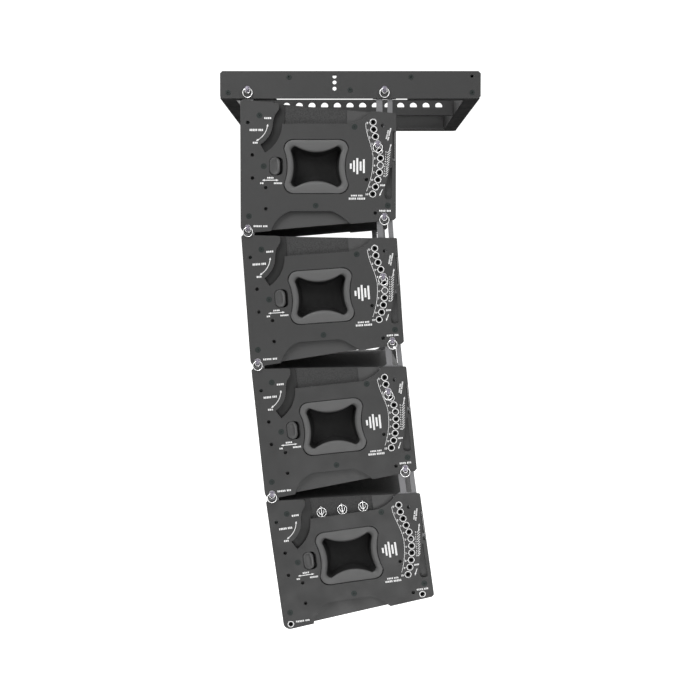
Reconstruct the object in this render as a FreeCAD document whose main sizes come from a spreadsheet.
import FreeCAD, Part
import math
import os

from FreeCAD import Placement, Rotation, Vector

# Flown line array: a fly frame with four identical wedge cabinets hanging under it.
# +Z is up, -X is the way the sound goes, the near side is -Y.
# The origin is the centre pick hole of the frame's spine.
# Every cabinet piece is drawn in the cabinet's own frame: x to the rear, z up, origin at
# the eye of the upper front hinge. A compound then places it in the hanging array.

doc = FreeCAD.newDocument("line_array")
sheet = doc.addObject("Spreadsheet::Sheet", "sz")

SIZES = {
    # layers of one side, as distances from the middle of the cabinet
    "outer_face": 470, "plate_thick": 6, "rod_gap": 0.5, "rod_thick": 10,
    "inner_thick": 4, "wall_thick": 15, "panel_thick": 12,
    # cabinet outline
    "front_edge": -19.5, "rear_edge": 389.5, "top_front": -19.3, "bottom_front": -366.4,
    "wedge": 5, "box_front": -12, "box_rear": 372, "box_inset": 1,
    "hinge_drop": 353.5, "rear_pin_x": 359, "rear_pin_drop": 322.1,
    # front rod and its swing slot
    "pivot_drop": 77.4, "swing_inner": 66, "swing_outer": 91, "swing_end": 60,
    "front_rod_half": 15, "frame_rod_extra": 10,
    # rear rod
    "rear_rod_half": 21.2, "rear_rod_long": 205, "rear_rod_wide": 43, "pointer_drop": 185,
    "pin_slot_top": 76, "pin_slot_end": 190, "pin_slot_left": 35, "pin_slot_right": 4,
    # splay holes
    "splay_top": 76.6, "splay_pitch": 18.78, "splay_far_x": 348.8, "pin_hole": 5.1,
    # pins
    "pin_shank": 5, "pin_collar": 8, "pin_button": 4.5, "ring_mean": 12.2, "ring_wire": 1.2,
    "ring_hang": 10.5, "pin_tip": 444, "relief_radius": 7, "relief_deep": 7,
    # handle cup
    "cup_x": 179.7, "cup_z": -192.5, "cup_wide": 169, "cup_high": 141, "cup_waist": 8.4,
    "cup_corner": 25, "cup_bottom": 404, "cup_wall": 4, "cup_gap": 1.2,
    "hand_wide": 130, "hand_high": 103.5, "hand_sag": 15, "hand_waist": 7.5,
    # lock knob
    "knob_x": 71, "knob_z": -191.4, "knob_wide": 28, "knob_high": 47, "knob_travel": 7,
    # loudspeakers
    "baffle_outer_x": 15, "baffle_inner_x": 148, "baffle_inner_y": 152, "baffle_thick": 18,
    "low_radius": 149, "low_hole": 137, "mid_radius": 60, "mid_hole": 50, "high_radius": 44,
    "driver_z": -192, "mid_pitch": 132, "high_pitch": 120,
    # fly frame
    "rail_front": -340.6, "rail_rear": 342.7, "rail_top": 40.9, "rail_bottom": -30.6,
    "rail_flange": 50, "pick_radius": 10.4, "pick_pitch": 37.1, "spine_half": 10,
    "spine_top": 17.4, "spine_bottom": -28, "beam_wide": 40, "frame_pin_z": -5.8,
    # hanging array: first hinge and the angle of each cabinet, rear up
    "first_x": -268.6, "first_z": -15.8,
    "angle_1": 0, "angle_2": 4, "angle_3": 6, "angle_4": 8,
}
for row, (alias, value) in enumerate(SIZES.items(), start=1):
    sheet.set(f"A{row}", alias)
    sheet.set(f"B{row}", str(value))
    sheet.setAlias(f"B{row}", alias)
doc.recompute()


def size(alias):
    return float(sheet.get(alias))


CABINETS = (1, 2, 3, 4)
OUTER = size("outer_face")
PLATE_IN = OUTER - size("plate_thick")
ROD_OUT = PLATE_IN - size("rod_gap")
ROD_IN = ROD_OUT - size("rod_thick")
INNER_OUT = ROD_IN - size("rod_gap")
BOX_SIDE = INNER_OUT - size("inner_thick")
BOX_IN = BOX_SIDE - size("wall_thick")
SLOPE = math.tan(math.radians(size("wedge")))
REAR_PIN = (size("rear_pin_x"), -size("rear_pin_drop"))
FRONT_PIN = (0.0, -size("hinge_drop"))


def top(x, inset=0.0):
    """Height of the sloping top edge at x, lowered by inset."""
    return size("top_front") - x * SLOPE - inset


def bottom(x, inset=0.0):
    """Height of the sloping bottom edge at x, raised by inset."""
    return size("bottom_front") + x * SLOPE + inset


# ---------- building blocks ----------

def outline(path):
    """Edges of a closed outline. (x, z) is a corner, (x, z, radius) a rounded corner, and
    ((x, z), (x, z)) an arc through the first point that ends at the second."""
    corners = [Vector(*(entry[1] if isinstance(entry[0], tuple) else entry[:2]), 0) for entry in path]
    arrive, leave, rounds = list(corners), list(corners), [None] * len(path)
    for index, entry in enumerate(path):
        if len(entry) == 3:
            corner = corners[index]
            back = (corners[index - 1] - corner).normalize()
            ahead = (corners[(index + 1) % len(path)] - corner).normalize()
            half = back.getAngle(ahead) / 2
            arrive[index] = corner + back * (entry[2] / math.tan(half))
            leave[index] = corner + ahead * (entry[2] / math.tan(half))
            middle = corner + (back + ahead).normalize() * (entry[2] / math.sin(half) - entry[2])
            rounds[index] = Part.Arc(arrive[index], middle, leave[index])
    edges = []
    for index, entry in enumerate(path):
        if isinstance(entry[0], tuple):
            edges.append(Part.Arc(leave[index - 1], Vector(*entry[0], 0), arrive[index]))
        else:
            edges.append(Part.LineSegment(leave[index - 1], arrive[index]))
        if rounds[index]:
            edges.append(rounds[index])
    return edges


def circle(x, z, radius):
    return [Part.Circle(Vector(x, z, 0), Vector(0, 0, 1), radius)]


def rectangle(x1, z1, x2, z2, radius=0.0):
    corner = (radius,) if radius else ()
    return outline([(x1, z1) + corner, (x2, z1) + corner, (x2, z2) + corner, (x1, z2) + corner])


def new_body(name):
    return doc.addObject("PartDesign::Body", name)


def sketch_on(body, plane, offset, loops):
    """Sketch of closed loops, parallel to one of the body's own origin planes."""
    sketch = body.newObject("Sketcher::SketchObject", f"{body.Name}_sketch")
    support = [f for f in body.Origin.OriginFeatures if f.Role == plane][0]
    sketch.AttachmentSupport = (support, [""])
    sketch.MapMode = "FlatFace"
    sketch.setExpression("AttachmentOffset.Base.z", str(offset))
    for loop in loops:
        sketch.addGeometry(loop, False)
    return sketch


def pad(body, plane, offset, loops, length, symmetric=False):
    feature = body.newObject("PartDesign::Pad", f"{body.Name}_pad")
    feature.Profile = sketch_on(body, plane, offset, loops)
    feature.SideType = "Symmetric" if symmetric else "One side"
    feature.setExpression("Length", str(length))
    return body


def pocket(body, plane, offset, loops, depth=None):
    """Cut from the sketch plane against its normal, all the way through when depth is None."""
    feature = body.newObject("PartDesign::Pocket", f"{body.Name}_pocket")
    feature.Profile = sketch_on(body, plane, offset, loops)
    if depth is None:
        feature.Type = "ThroughAll"
    else:
        feature.setExpression("Length", str(depth))
    return body


def revolve(name, path):
    """Turned piece: the path is (distance along the axis, radius) and the axis is +X."""
    body = new_body(name)
    feature = body.newObject("PartDesign::Revolution", f"{name}_turned")
    feature.Profile = sketch_on(body, "XZ_Plane", 0, [outline(path)])
    axis = [f for f in body.Origin.OriginFeatures if f.Role == "X_Axis"][0]
    feature.ReferenceAxis = (axis, [""])
    feature.Angle = 360
    return body


def box(name, low, high):
    """Box between two corners; each coordinate is a number or an expression."""
    piece = doc.addObject("Part::Box", name)
    for prop, axis in (("Length", 0), ("Width", 1), ("Height", 2)):
        piece.setExpression(prop, f"({high[axis]}) - ({low[axis]})")
    for letter, axis in (("x", 0), ("y", 1), ("z", 2)):
        piece.setExpression(f"Placement.Base.{letter}", str(low[axis]))
    return piece


def rod_across(name, x, z, start, end, radius):
    """Near-side cylinder along Y, between two distances from the middle."""
    piece = doc.addObject("Part::Cylinder", name)
    piece.Placement = Placement(Vector(), Rotation(Vector(1, 0, 0), 90))
    piece.setExpression("Placement.Base.x", str(x))
    piece.setExpression("Placement.Base.y", f"-({start})")
    piece.setExpression("Placement.Base.z", str(z))
    piece.setExpression("Radius", str(radius))
    piece.setExpression("Height", f"({end}) - ({start})")
    return piece


def fuse(name, pieces):
    piece = doc.addObject("Part::MultiFuse", name)
    piece.Shapes = pieces
    return piece


def cut(name, base, tools):
    piece = doc.addObject("Part::Cut", name)
    piece.Base = base
    piece.Tool = tools[0] if len(tools) == 1 else fuse(f"{name}_tools", tools)
    return piece


def common(name, base, tool):
    piece = doc.addObject("Part::Common", name)
    piece.Base = base
    piece.Tool = tool
    return piece


def mirrored(piece):
    """The same piece on the far side."""
    copy = doc.addObject("Part::Mirroring", f"{piece.Name}_far")
    copy.Source = piece
    copy.Normal = Vector(0, 1, 0)
    return copy


def placed(name, piece, x, y, z, turn=0.0, tilt=0.0):
    """A copy of the piece, turned about Z, tilted rear up, and moved."""
    copy = doc.addObject("Part::Compound", name)
    copy.Links = [piece]
    turned = Rotation(Vector(0, -1, 0), tilt).multiply(Rotation(Vector(0, 0, 1), turn))
    copy.Placement = Placement(Vector(x, y, z), turned)
    return copy


def both_sides(pieces):
    return list(pieces) + [mirrored(piece) for piece in pieces]


# ---------- nodes ----------

NODES = []


def cabinet_origin(number):
    """Where the upper front hinge of a cabinet hangs, as expressions on the sheet."""
    x, z = "sz.first_x", "sz.first_z"
    for above in range(1, number):
        x += f" + sz.hinge_drop * sin(sz.angle_{above} * 1deg)"
        z += f" - sz.hinge_drop * cos(sz.angle_{above} * 1deg)"
    return x, z


def node(name, pieces, number=None):
    """Named sub-part: its solids, hung with cabinet `number` or left in the frame's place."""
    part = doc.addObject("Part::Compound", f"node_{name}")
    part.Label = name
    part.Links = pieces
    if number:
        x, z = cabinet_origin(number)
        part.Placement = Placement(Vector(), Rotation(Vector(0, -1, 0), size(f"angle_{number}")))
        part.setExpression("Placement.Base.x", x)
        part.setExpression("Placement.Base.z", z)
    NODES.append(part)
    return part


# ---------- rig plates ----------

SCREWS = [(31, -58.8), (41.8, -191.7), (2.6, -322.4), (178.4, -295), (280.6, -88.9), (367.8, -294.4)]
SCREW_HEAD, SCREW_SHANK, SINK, SOCKET = 7.8, 4.0, 4.0, 2.4
PLAIN_HOLES = [(0.3, -77.4), (11.8, -162.1), (12.3, -222.5), (46.8, -247.6), (47, -303.1),
               (354.4, -85.5), (311.8, -226.7), (335.2, -314.3)]
PLAIN_HOLE = 4.7
SPLAY_HOLES = 11


def splay_hole(index):
    """Centre of one splay-angle hole; the column bows to the rear at half its height."""
    z = -size("splay_top") - size("splay_pitch") * index
    middle, end = 5.2, SPLAY_HOLES - 1
    if index < middle:
        bow = 19.7 * math.sin(math.pi / 2 * (middle - index) / middle) ** 2
    else:
        bow = 20.7 * ((index - middle) / (end - middle)) ** 2
    return size("splay_far_x") - bow, z


def pin_holes():
    """Every quick-release pin's hole through one side of a cabinet."""
    return [FRONT_PIN, REAR_PIN] + [splay_hole(index) for index in range(SPLAY_HOLES)]


def swing_point(radius, degrees):
    """Point of the swing slot, at an angle below level around the front rod's pivot."""
    angle = math.radians(degrees)
    return radius * math.cos(angle), -size("pivot_drop") - radius * math.sin(angle)


def outer_plate():
    inner, outer, end = size("swing_inner"), size("swing_outer"), size("swing_end")
    front, rear = size("front_edge"), size("rear_edge")
    recess_z, ear_x, arch_z = -80.5, 324.4, -309.1
    path = [
        (front, top(front), 5), (84, top(84), 8), (81.5, -44, 9), (70.5, -60, 12),
        swing_point(inner, 0), (swing_point(inner, end / 2), swing_point(inner, end)),
        swing_point(outer, end), (swing_point(outer, end / 2), swing_point(outer, 2)),
        (swing_point(outer, 2)[0], recess_z), (266, recess_z),
        ((299, -69.5), (ear_x, top(ear_x) - 1)), (ear_x + 3, top(ear_x + 3)),
        (rear, top(rear), 4), (rear, bottom(rear) + 5), (rear - 6, bottom(rear - 6)),
        (270, bottom(270)), ((251, -326.5), (220.4, arch_z)), (113.2, arch_z),
        ((80, -328.5), (61, bottom(61))), (front, bottom(front), 18),
    ]
    body = pad(new_body("outer_plate"), "XZ_Plane", PLATE_IN, [outline(path)], "sz.plate_thick")
    pocket(body, "XZ_Plane", "sz.outer_face", [circle(x, z, size("pin_hole")) for x, z in pin_holes()])
    pocket(body, "XZ_Plane", "sz.outer_face", [circle(x, z, PLAIN_HOLE) for x, z in PLAIN_HOLES])
    pocket(body, "XZ_Plane", "sz.outer_face", [cup_outline(size("cup_gap")), knob_opening()])
    pocket(body, "XZ_Plane", "sz.outer_face", [rectangle(380.3, -180, 387, -100, 3)])
    finger_gap = outline([(376, -188, 3), (359, -255), (359, -278, 9), (379.5, -278, 6), (379.5, -188, 1)])
    pocket(body, "XZ_Plane", "sz.outer_face", [finger_gap])
    pocket(body, "XZ_Plane", "sz.outer_face", [circle(x, z, 4.2) for x, z in SCREWS])
    return cut("outer_plate_sunk", body, [screw_seat(x, z) for x, z in SCREWS])


def inner_plate():
    front, rear, left, right, floor = -17.0, 387.0, 96.4, 260.6, -300.0
    path = [
        (front, top(front, 1.5)), (left, top(left, 1.5)), (left, floor, 6), (right, floor, 6),
        (right, top(right, 1.5)), (rear, top(rear, 1.5)), (rear, bottom(rear, 2.6)),
        (front, bottom(front, 2.6), 16),
    ]
    body = pad(new_body("inner_plate"), "XZ_Plane", BOX_SIDE, [outline(path)], "sz.inner_thick")
    pocket(body, "XZ_Plane", INNER_OUT, [circle(x, z, size("pin_hole")) for x, z in pin_holes()])
    return pocket(body, "XZ_Plane", INNER_OUT, [circle(x, z, 4.1) for x, z in SCREWS])


# ---------- plate screws ----------


def screw_seat(x, z):
    """Cone that sinks a screw head into the outer plate."""
    cone = doc.addObject("Part::Cone", "screw_seat")
    cone.Placement = Placement(Vector(x, 0, z), Rotation(Vector(1, 0, 0), 90))
    cone.setExpression("Placement.Base.y", f"-(sz.outer_face - {SINK})")
    cone.Radius1, cone.Radius2, cone.Height = SCREW_SHANK + 0.1, SCREW_HEAD + 0.1, SINK
    return cone


def plate_screw(x, z):
    head = doc.addObject("Part::Cone", "screw_head")
    head.Placement = Placement(Vector(x, 0, z), Rotation(Vector(1, 0, 0), 90))
    head.setExpression("Placement.Base.y", f"-(sz.outer_face - {SINK})")
    head.Radius1, head.Radius2, head.Height = SCREW_SHANK, SCREW_HEAD, SINK
    shank = rod_across("screw_shank", x, z, BOX_SIDE, f"sz.outer_face - {SINK}", SCREW_SHANK)
    socket = rod_across("screw_socket", x, z, "sz.outer_face - 3", "sz.outer_face + 1", SOCKET)
    return cut("plate_screw", fuse("screw_solid", [head, shank]), [socket])


def spacer(x, z):
    sleeve = rod_across("spacer_sleeve", x, z, INNER_OUT, PLATE_IN, 6.5)
    return cut("spacer", sleeve, [rod_across("spacer_hole", x, z, INNER_OUT - 1, PLATE_IN + 1, 4.1)])


def plate_fasteners():
    studs = rod_across("rod_pivot_stud", 0, "-sz.pivot_drop", INNER_OUT, PLATE_IN, 8)
    stud_hole = rod_across("stud_hole", 0.3, "-sz.pivot_drop", PLATE_IN - 6, PLATE_IN + 1, PLAIN_HOLE)
    pieces = [cut("pivot_stud", studs, [stud_hole])]
    for x, z in SCREWS:
        pieces += [plate_screw(x, z), spacer(x, z)]
    return both_sides(pieces)


# ---------- handle cup and lock knob ----------

def cup_outline(grow=0.0):
    """Pillow shape of the handle cup, waisted at both ends, grown by a gap all round."""
    x, z = size("cup_x"), size("cup_z")
    wide, high = size("cup_wide") / 2 + grow, size("cup_high") / 2 + grow
    waist, corner = size("cup_waist"), size("cup_corner")
    shoulder = high - corner
    tip = (wide - corner * 0.29, high - corner * 0.29)
    return outline([
        (x + wide - corner, z + high), ((x + tip[0], z + tip[1]), (x + wide, z + shoulder)),
        ((x + wide - waist, z), (x + wide, z - shoulder)),
        ((x + tip[0], z - tip[1]), (x + wide - corner, z - high)),
        (x - wide + corner, z - high), ((x - tip[0], z - tip[1]), (x - wide, z - shoulder)),
        ((x - wide + waist, z), (x - wide, z + shoulder)),
        ((x - tip[0], z + tip[1]), (x - wide + corner, z + high)),
    ])


def hand_outline():
    """Pincushion opening for the fingers; all four sides bow inwards."""
    x, z = size("cup_x"), size("cup_z")
    wide, high = size("hand_wide") / 2, size("hand_high") / 2
    sag, waist, nose = size("hand_sag"), size("hand_waist"), 7.0
    tip = 0.29 * nose
    return outline([
        ((x, z + high - sag), (x + wide - nose, z + high)),
        ((x + wide - tip, z + high - tip), (x + wide, z + high - nose)),
        ((x + wide - waist, z), (x + wide, z - high + nose)),
        ((x + wide - tip, z - high + tip), (x + wide - nose, z - high)),
        ((x, z - high + sag), (x - wide + nose, z - high)),
        ((x - wide + tip, z - high + tip), (x - wide, z - high + nose)),
        ((x - wide + waist, z), (x - wide, z + high - nose)),
        ((x - wide + tip, z + high - tip), (x - wide + nose, z + high)),
    ])


def handle_cup():
    x, z = size("cup_x"), size("cup_z")
    wall = size("cup_wall")
    rim = pad(new_body("cup_rim"), "XZ_Plane", INNER_OUT, [cup_outline()], OUTER - 0.5 - INNER_OUT)
    seat = box("cup_seat", (x - 80, -INNER_OUT, z - 66), (x + 80, -BOX_SIDE, z + 66))
    wide, high = size("hand_wide") / 2 + wall, size("hand_high") / 2 + wall
    shell = box("cup_shell", (x - wide, -BOX_SIDE, z - high), (x + wide, "-sz.cup_bottom", z + high))
    hollow = pad(new_body("cup_hollow"), "XZ_Plane", f"sz.cup_bottom + {wall}", [hand_outline()], 80)
    return cut("handle_cup", fuse("cup_solid", [rim, seat, shell]), [hollow])


def oval(x, z, wide, high):
    """Upright oval with round ends."""
    half = wide / 2
    low, up = z - high / 2 + half, z + high / 2 - half
    return outline([(x - half, low), ((x, low - half), (x + half, low)),
                    (x + half, up), ((x, up + half), (x - half, up))])


def knob_opening():
    """Opening that leaves the knob half a millimetre all round over its whole travel."""
    left = size("knob_x") - size("knob_wide") / 2 - 0.5
    right = size("knob_x") + size("knob_wide") / 2 + size("knob_travel") + 0.5
    low = size("knob_z") - size("knob_high") / 2 - 0.5
    return rectangle(left, low, right, low + size("knob_high") + 1, size("knob_wide") / 2 - 1)


def lock_knob():
    x, z = size("knob_x"), size("knob_z")
    shape = oval(x, z, size("knob_wide"), size("knob_high"))
    button = pad(new_body("knob_button"), "XZ_Plane", ROD_OUT, [shape], 9)
    flange = box("knob_flange", (x - 18, -ROD_OUT, z - 28), (x + 18, -(ROD_OUT - 3), z + 28))
    return fuse("lock_knob", [button, flange])


# ---------- hanging rods ----------

def front_rod(number):
    eye = size("frame_rod_extra") if number == 1 else 0.0
    pivot, half = -size("pivot_drop"), size("front_rod_half")
    path = [(-half, pivot), ((0, pivot - half), (half, pivot)), (half, eye), ((0, eye + half), (-half, eye))]
    body = pad(new_body(f"front_rod_{number}"), "XZ_Plane", ROD_IN, [outline(path)], "sz.rod_thick")
    return pocket(body, "XZ_Plane", ROD_OUT, [circle(0, eye, size("pin_hole")), circle(0, pivot, 8.1)])


def rear_rod():
    """Rear rod around its own eye: a fork above the plate, a wide slotted strap behind it."""
    half, wide, long = size("rear_rod_half"), size("rear_rod_wide"), size("rear_rod_long")
    pointer, slot_top, slot_end = size("pointer_drop"), size("pin_slot_top"), size("pin_slot_end")
    path = [
        (-half, 0), ((0, half), (half, 0)), (half, -pointer + 5), (half + 6, -pointer + 2),
        (half + 6, -pointer - 2), (half, -pointer - 5), (half, -long, 5), (-wide, -long, 5),
        (-wide, -slot_top + 4), (-half, -slot_top + 14),
    ]
    body = pad(new_body("rear_rod"), "XZ_Plane", ROD_IN, [outline(path)], "sz.rod_thick")
    fork = rectangle(-5.2, -68, 8.2, -17, 4)
    slot = rectangle(-size("pin_slot_left"), -slot_end, -size("pin_slot_right"), -slot_top, 5)
    return pocket(body, "XZ_Plane", ROD_OUT, [circle(0, 0, size("pin_hole")), fork, slot])


def rear_eye(number):
    """Eye of a cabinet's rear rod in that cabinet's own frame."""
    if number == 1:
        return size("rear_pin_x"), size("frame_rod_extra")
    tilt = math.radians(size(f"angle_{number}") - size(f"angle_{number - 1}"))
    rise = size("hinge_drop") - size("rear_pin_drop")
    reach = size("rear_pin_x")
    return (reach * math.cos(tilt) + rise * math.sin(tilt), rise * math.cos(tilt) - reach * math.sin(tilt))


# ---------- quick-release pins ----------

def pin_at(name, x, z, lean):
    """Near-side pin; its ring hangs straight down when the cabinet leans rear up."""
    pieces = [
        rod_across("pin_shank", x, z, "sz.pin_tip", "sz.outer_face + 1", "sz.pin_shank"),
        rod_across("pin_collar", x, z, "sz.outer_face + 0.3", "sz.outer_face + 3.3", "sz.pin_collar"),
        rod_across("pin_button", x, z, "sz.outer_face + 3", "sz.outer_face + 9", "sz.pin_button"),
    ]
    ring = doc.addObject("Part::Torus", "pin_ring")
    hang, angle = size("ring_hang"), math.radians(lean)
    ring.Placement = Placement(Vector(x - hang * math.sin(angle), 0, z - hang * math.cos(angle)),
                               Rotation(Vector(1, 0, 0), 90))
    ring.setExpression("Placement.Base.y", "-(sz.outer_face + 5.5)")
    ring.setExpression("Radius1", "sz.ring_mean")
    ring.setExpression("Radius2", "sz.ring_wire")
    return fuse(name, pieces + [ring])


def stowed_pin(x, z):
    """Spare pin parked upright between the plates, ring facing sideways."""
    middle = (ROD_IN + ROD_OUT) / 2
    pieces = []
    for low, high, radius in ((-46, -7, "sz.pin_shank - 0.4"), (-7, -4, "4.8"), (-4, 12, "2.4")):
        piece = doc.addObject("Part::Cylinder", "stowed_turned")
        piece.Placement = Placement(Vector(x, -middle, z + low), Rotation())
        piece.Height = high - low
        piece.setExpression("Radius", radius)
        pieces.append(piece)
    ring = doc.addObject("Part::Torus", "stowed_ring")
    ring.Placement = Placement(Vector(x, -middle, z), Rotation(Vector(1, 0, 0), 90))
    ring.setExpression("Radius1", "sz.ring_mean")
    ring.setExpression("Radius2", "sz.ring_wire")
    return fuse("stowed_pin", pieces + [ring])


# ---------- enclosure ----------

def prism(name, plane, offset, path, length, symmetric=False):
    return pad(new_body(name), plane, offset, [outline(path)], length, symmetric)


def box_side(front, rear, inset):
    """Side view of the loudspeaker box, inset from the plate's sloping edges."""
    return [(front, top(front, inset)), (rear, top(rear, inset)),
            (rear, bottom(rear, inset + 1.6)), (front, bottom(front, inset + 1.6))]


def baffle_plan(back):
    """Corners of the V baffle in plan, on its face or, with back set, on its rear face."""
    outer_x, inner_x, inner_y = size("baffle_outer_x"), size("baffle_inner_x"), size("baffle_inner_y")
    run = (inner_x - outer_x) / (BOX_IN - inner_y)
    if not back:
        return outer_x, inner_x, inner_y
    outer_back = outer_x + size("baffle_thick") * math.hypot(1, run)
    inner_back = inner_x + size("baffle_thick")
    return outer_back, inner_back, BOX_IN - (inner_back - outer_back) / run


def low_driver_place():
    """Middle of the near baffle face and the turn of the driver's axis about Z."""
    outer_x, inner_x, inner_y = baffle_plan(back=False)
    turn = -math.degrees(math.atan2(inner_x - outer_x, BOX_IN - inner_y))
    return (outer_x + inner_x) / 2, -(BOX_IN + inner_y) / 2, turn


def enclosure():
    front, rear, inset = size("box_front"), size("box_rear"), size("box_inset")
    panel = size("panel_thick")
    solid = prism("box_solid", "XZ_Plane", 0, box_side(front, rear, inset), 2 * BOX_SIDE, True)
    inside = box_side(front - 1, rear - panel, inset + panel)
    air = [prism(f"box_air_{end}", "XZ_Plane", 0, inside, 2 * BOX_IN, True) for end in ("front", "rear")]
    outer_x, inner_x, inner_y = baffle_plan(back=False)
    front_plan = [(front - 2, BOX_IN + 1), (outer_x, BOX_IN + 1), (outer_x, BOX_IN), (inner_x, inner_y),
                  (inner_x, -inner_y), (outer_x, -BOX_IN), (outer_x, -BOX_IN - 1), (front - 2, -BOX_IN - 1)]
    back_x, flat_x, flat_y = baffle_plan(back=True)
    rear_plan = [(back_x, BOX_IN), (back_x, BOX_IN + 1), (rear, BOX_IN + 1), (rear, -BOX_IN - 1),
                 (back_x, -BOX_IN - 1), (back_x, -BOX_IN), (flat_x, -flat_y), (flat_x, flat_y)]
    front_air = common("front_air", air[0], prism("front_plan", "XY_Plane", -400, front_plan, 400))
    rear_air = common("rear_air", air[1], prism("rear_plan", "XY_Plane", -400, rear_plan, 400))
    x, y, turn = low_driver_place()
    bore = doc.addObject("Part::Cylinder", "low_driver_bore")
    bore.setExpression("Radius", "sz.low_hole")
    bore.Height = 60
    across = Rotation(Vector(0, 0, 1), turn).multiply(Rotation(Vector(0, 1, 0), 90))
    start = Vector(x, y, size("driver_z")) - across.multVec(Vector(0, 0, 20))
    bore.Placement = Placement(start, across)
    cup_x, cup_z = size("cup_x"), size("cup_z")
    cup_hole = box("cup_hole", (cup_x - 69.5, -(BOX_SIDE + 1), cup_z - 56.5),
                   (cup_x + 69.5, -(BOX_IN - 1), cup_z + 56.5))
    throat = box("throat_hole", (inner_x - 5, -34, -320), (flat_x + 4, 34, -64))
    panel_hole = box("panel_hole", (rear - panel - 5, -90, -232), (rear + 5, 90, -152))
    relief_end = f"{BOX_SIDE} - sz.relief_deep"
    reliefs = [rod_across("pin_relief", x, z, relief_end, BOX_SIDE + 1, "sz.relief_radius")
               for x, z in pin_holes()]
    tools = [front_air, rear_air, throat, panel_hole] + both_sides([bore, cup_hole] + reliefs)
    return cut("enclosure", solid, tools)


def grille():
    """Flat pressed sheet over the whole front, with a folded rim."""
    front = size("box_front")
    side, recess = box_side(front - 3.5, front, 2), box_side(front - 2, front + 1, 10)
    sheet_body = prism("grille_sheet", "XZ_Plane", 0, side, 2 * BOX_SIDE - 4, True)
    hollow = prism("grille_hollow", "XZ_Plane", 0, recess, 2 * BOX_SIDE - 20, True)
    return cut("grille", sheet_body, [hollow])


# ---------- drivers ----------

def low_drivers():
    radius = size("low_radius")
    basket = revolve("low_basket", [
        (-8, 124), (-8, radius), (0, radius), (0, 135), (62, 66), (70, 66), (70, 22), (66, 22),
        (66, 62), (60, 62), (-3, 130), (-3, 124)])
    cone = revolve("low_cone", [
        (-6, 123.5), (-6, 108), (34, 40), (26, 24), (22, 0), (23.5, 0), (27.6, 24.8), (36.4, 40.6),
        (-4.5, 109), (-4.5, 123.5)])
    magnet = revolve("low_magnet", [(70, 0), (70, 60), (112, 60), (112, 0)])
    x, y, turn = low_driver_place()
    pieces = [placed(f"{piece.Name}_placed", piece, x, y, size("driver_z"), turn)
              for piece in (basket, cone, magnet)]
    return both_sides(pieces)


def horn_module():
    mouth_x, wall_end, throat_x, cheek = -2.0, 147.0, 185.0, 150.0
    low, high = -318, -66
    flare = [(mouth_x, -cheek), (wall_end, -cheek), (wall_end, -cheek + 6), (8, -cheek + 6), (wall_end, -32),
             (wall_end, -24), (mouth_x, -cheek + 6)]
    prism_body = prism("flare_prism", "XY_Plane", -400, flare, 400)
    limits = prism("flare_limits", "XZ_Plane", 0,
                   box_side(-8, 160, size("box_inset") + size("panel_thick") + 0.5), 800, True)
    throat = prism("throat_wall", "XY_Plane", low,
                   [(wall_end, -32), (throat_x, -24), (throat_x, -16), (wall_end, -24)], high - low)
    rear_plate = box("throat_plate", (throat_x, -48, low), (throat_x + 6, 48, high))
    mid_x, mid_y = (8 + wall_end) / 2, -(cheek - 6 + 32) / 2
    lean = math.degrees(math.atan2(wall_end - 8, cheek - 6 - 32))
    mid = revolve("mid_driver", [
        (18, 0), (22, 12), (0.05, 52), (0.05, 60), (4, 60), (6, 54), (32, 30), (46, 30), (46, 0)])
    high_driver = revolve("compression_driver", [
        (0, 0), (0, size("high_radius")), (30, size("high_radius")), (36, 40), (50, 40), (54, 34), (54, 0)])
    middle, step, gap = size("driver_z"), size("mid_pitch") / 2, size("high_pitch") / 2
    mids, bores = [], []
    for sign in (-1, 1):
        z = middle + sign * step
        mids.append(placed("mid_placed", mid, mid_x, mid_y, z, -lean))
        bore = doc.addObject("Part::Cylinder", "mid_bore")
        bore.setExpression("Radius", "sz.mid_hole")
        bore.Height = 24
        across = Rotation(Vector(0, 0, 1), -lean).multiply(Rotation(Vector(0, 1, 0), 90))
        bore.Placement = Placement(Vector(mid_x, mid_y, z) - across.multVec(Vector(0, 0, 22)), across)
        bores.append(bore)
    wall = fuse("horn_wall", [cut("flare_cut", common("flare", prism_body, limits), bores), throat])
    horn = fuse("horn", [wall, mirrored(wall), rear_plate])
    openings = []
    for sign in (-1, 1):
        hole = doc.addObject("Part::Cylinder", "throat_hole_round")
        hole.Radius, hole.Height = 18, 20
        start = Vector(throat_x - 5, 0, middle + sign * gap)
        hole.Placement = Placement(start, Rotation(Vector(0, 1, 0), 90))
        openings.append(hole)
    drivers = [placed("high_placed", high_driver, throat_x + 6, 0, middle + sign * gap) for sign in (-1, 1)]
    return [cut("horn_open", horn, openings)] + both_sides(mids) + drivers


def input_panel():
    rear, middle = size("box_rear"), size("driver_z")
    plate = box("panel_plate", (rear, -105, middle - 55), (rear + 3, 105, middle + 55))
    pieces, holes = [], []
    for y in (-40, 40):
        socket = revolve("link_socket", [(-26, 0), (-26, 11), (3, 11), (3, 15.5), (6.5, 15.5), (6.5, 10),
                                         (-20, 10), (-20, 0)])
        pieces.append(placed("socket_placed", socket, rear, y, middle))
        hole = doc.addObject("Part::Cylinder", "socket_hole")
        hole.Radius, hole.Height = 11.3, 10
        hole.Placement = Placement(Vector(rear - 3, y, middle), Rotation(Vector(0, 1, 0), 90))
        holes.append(hole)
    screw = revolve("panel_screw", [(0, 0), (0, 4.2), (1.4, 3.6), (2.2, 2), (2.4, 0)])
    for y in (-97, 97):
        for z in (-47, 47):
            pieces.append(placed("screw_placed", screw, rear + 3, y, middle + z))
    return [cut("panel", plate, holes)] + pieces


# ---------- fly frame ----------

FRAME_PINS = [(size("first_x"), size("frame_pin_z")),
              (size("first_x") + size("rear_pin_x"), size("frame_pin_z"))]
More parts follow.
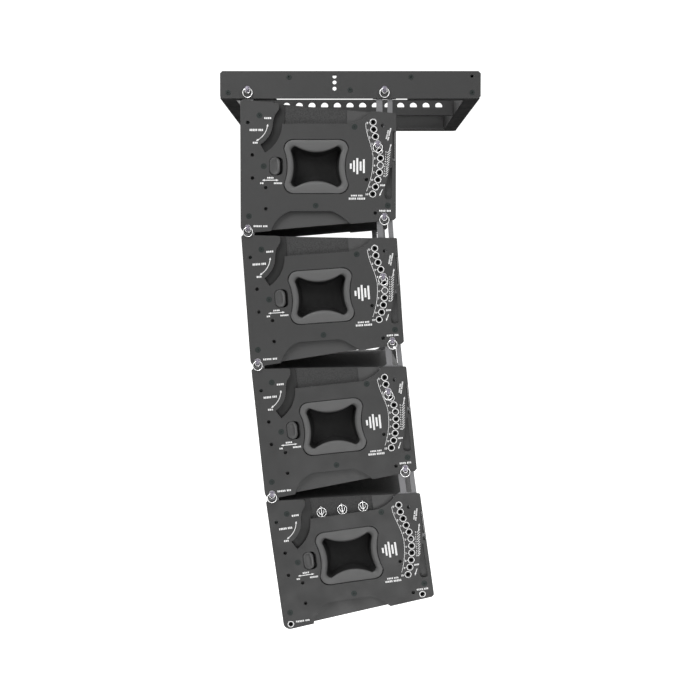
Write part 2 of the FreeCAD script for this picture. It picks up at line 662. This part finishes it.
# x, z and how far inwards each bolt reaches: to a beam's end, or only through the rail
FRAME_BOLTS = [(-320, -15, ROD_OUT), (320, -15, ROD_OUT), (-160, 25, PLATE_IN), (160, 25, PLATE_IN),
               (0, -8.5, PLATE_IN)]


def side_rail():
    front, rear = size("rail_front"), size("rail_rear")
    up, low, flange = size("rail_top"), size("rail_bottom"), size("rail_flange")
    thick = size("plate_thick")
    section = [(-OUTER, low), (-OUTER, up), (-OUTER + flange, up), (-OUTER + flange, up - thick),
               (-PLATE_IN, up - thick), (-PLATE_IN, low + thick), (-OUTER + flange, low + thick),
               (-OUTER + flange, low)]
    channel = prism("rail_channel", "YZ_Plane", front, section, "sz.rail_rear - sz.rail_front")
    lugs = [box("rail_lug", (x - 28, -INNER_OUT, low), (x + 28, -BOX_SIDE, up - thick + 1))
            for x, z in FRAME_PINS]
    shape = outline([(front, low + 6), (front, up - 6), (front + 6, up), (rear - 6, up), (rear, up - 6),
                     (rear, low + 6), (rear - 6, low), (front + 6, low)])
    limits = pad(new_body("rail_limits"), "XZ_Plane", 380, [shape], 120)
    holes = [rod_across("rail_pin_hole", x, z, 440, OUTER + 1, "sz.pin_hole") for x, z in FRAME_PINS]
    holes += [rod_across("rail_hole", -40.6, z, 440, OUTER + 1, 5.2) for z in (26.6, 11.5, -4.8)]
    holes += [rod_across("rail_vent", 319.6, 27.4, 440, OUTER + 1, 4)]
    holes += [rod_across("rail_bolt_hole", x, z, 440, OUTER + 1, 4.2) for x, z, _ in FRAME_BOLTS]
    reach = -OUTER + flange + 1
    gaps = [
        box("rail_gap_middle", (-194, -PLATE_IN, low - 1), (60, reach, low + thick + 1)),
        box("rail_gap_rear", (121, -PLATE_IN, low - 1), (152, reach, low + thick + 1)),
        box("rail_gap_rear_rod", (60, -PLATE_IN, low - 1), (121, -INNER_OUT, low + thick + 1)),
        box("rail_gap_rear_in", (60, -BOX_SIDE, low - 1), (121, reach, low + thick + 1)),
        box("rail_gap_front_rod", (-291, -PLATE_IN, low - 1), (-246, -INNER_OUT, low + thick + 1)),
        box("rail_end_front", (front - 1, -PLATE_IN, low - 1), (-300, reach, low + thick + 1)),
        box("rail_end_rear", (300, -PLATE_IN, low - 1), (rear + 1, reach, low + thick + 1)),
    ]
    return common("side_rail", cut("rail_cut", fuse("rail_fused", [channel] + lugs), holes + gaps), limits)


def tube_across(name, x1, x2, z1, z2, wall):
    """Rectangular tube from rail to rail."""
    reach = ROD_OUT
    outer = box(f"{name}_outer", (x1, -reach, z1), (x2, reach, z2))
    inner = box(f"{name}_inner", (x1 + wall, -reach - 1, z1 + wall), (x2 - wall, reach + 1, z2 - wall))
    return cut(name, outer, [inner])


def cross_beams():
    low, high = size("rail_bottom"), size("rail_top") - size("plate_thick") - 0.2
    wide = size("beam_wide")
    return [tube_across("front_beam", -wide - 300.4, -300.4, low, high, 4),
            tube_across("rear_beam", 300.4, 300.4 + wide, low, high, 4)]


def spine():
    half = size("spine_half")
    bar = prism("spine_bar", "XZ_Plane", 0, [(-300.2, size("spine_bottom")), (300.2, size("spine_bottom")),
                                            (300.2, size("spine_top")), (-300.2, size("spine_top"))],
                2 * half, True)
    holes = [circle(size("pick_pitch") * step, 0, size("pick_radius")) for step in range(-7, 8)]
    return pocket(bar, "XZ_Plane", half + 1, holes)


def frame_bolt(x, z, end):
    head = rod_across("bolt_head", x, z, OUTER, OUTER + 1.5, 6.5)
    shank = rod_across("bolt_shank", x, z, end, OUTER, 4)
    socket = rod_across("bolt_socket", x, z, OUTER - 2, OUTER + 2, SOCKET)
    return cut("frame_bolt", fuse("bolt_solid", [head, shank]), [socket])


# ---------- assembly ----------

node("frame_side_rails", both_sides([side_rail()]))
node("frame_cross_beams", cross_beams())
node("frame_spine", [spine()])
node("frame_bolts", both_sides([frame_bolt(*place) for place in FRAME_BOLTS]))
frame_pins = [pin_at("frame_pin", x, z, 0) for x, z in FRAME_PINS]
node("frame_pins_near", frame_pins)
node("frame_pins_far", [mirrored(pin) for pin in frame_pins])

box_piece, grille_piece = enclosure(), grille()
plates = both_sides([outer_plate(), inner_plate()])
cups, knobs = both_sides([handle_cup()]), both_sides([lock_knob()])
horn_pieces, low_pieces = horn_module(), low_drivers()
panel_pieces, fasteners = input_panel(), plate_fasteners()
rear_rod_piece = rear_rod()
ANGLE_HOLE = {1: 3, 2: 4, 3: 2}

for number in CABINETS:
    lean = size(f"angle_{number}")
    node(f"enclosure_{number}", [box_piece], number)
    node(f"rig_plates_{number}", plates, number)
    node(f"handle_cups_{number}", cups, number)
    node(f"front_grille_{number}", [grille_piece], number)
    node(f"horn_module_{number}", horn_pieces, number)
    node(f"low_drivers_{number}", low_pieces, number)
    node(f"input_panel_{number}", panel_pieces, number)
    node(f"front_rods_{number}", both_sides([front_rod(number)]), number)
    node(f"plate_fasteners_{number}", fasteners, number)
    eye_x, eye_z = rear_eye(number)
    hung_rod = placed("rear_rod_placed", rear_rod_piece, eye_x, 0, eye_z)
    node(f"rear_rods_{number}", both_sides([hung_rod]), number)
    node(f"lock_knobs_{number}", knobs, number)
    if number in ANGLE_HOLE:
        places = [FRONT_PIN, REAR_PIN, splay_hole(ANGLE_HOLE[number])]
        pins = [pin_at(f"pin_{number}", x, z, lean) for x, z in places]
        node(f"pins_near_{number}", pins, number)
        node(f"pins_far_{number}", [mirrored(pin) for pin in pins], number)
node("stowed_pins_4", both_sides([stowed_pin(x, -69.5) for x in (122.9, 178.3, 234.3)]), 4)

doc.recompute()

for thing in doc.Objects:
    if "Invalid" in thing.State or "Error" in thing.State:
        raise RuntimeError(f"{thing.Name} failed: {thing.State}")
for part in NODES:
    if part.Shape.isNull() or not part.Shape.isValid() or not part.Shape.Solids:
        raise RuntimeError(f"{part.Label} has no sound shape")

os.makedirs("parts", exist_ok=True)
for part in NODES:
    part.Shape.exportStep(f"parts/{part.Label}.step")
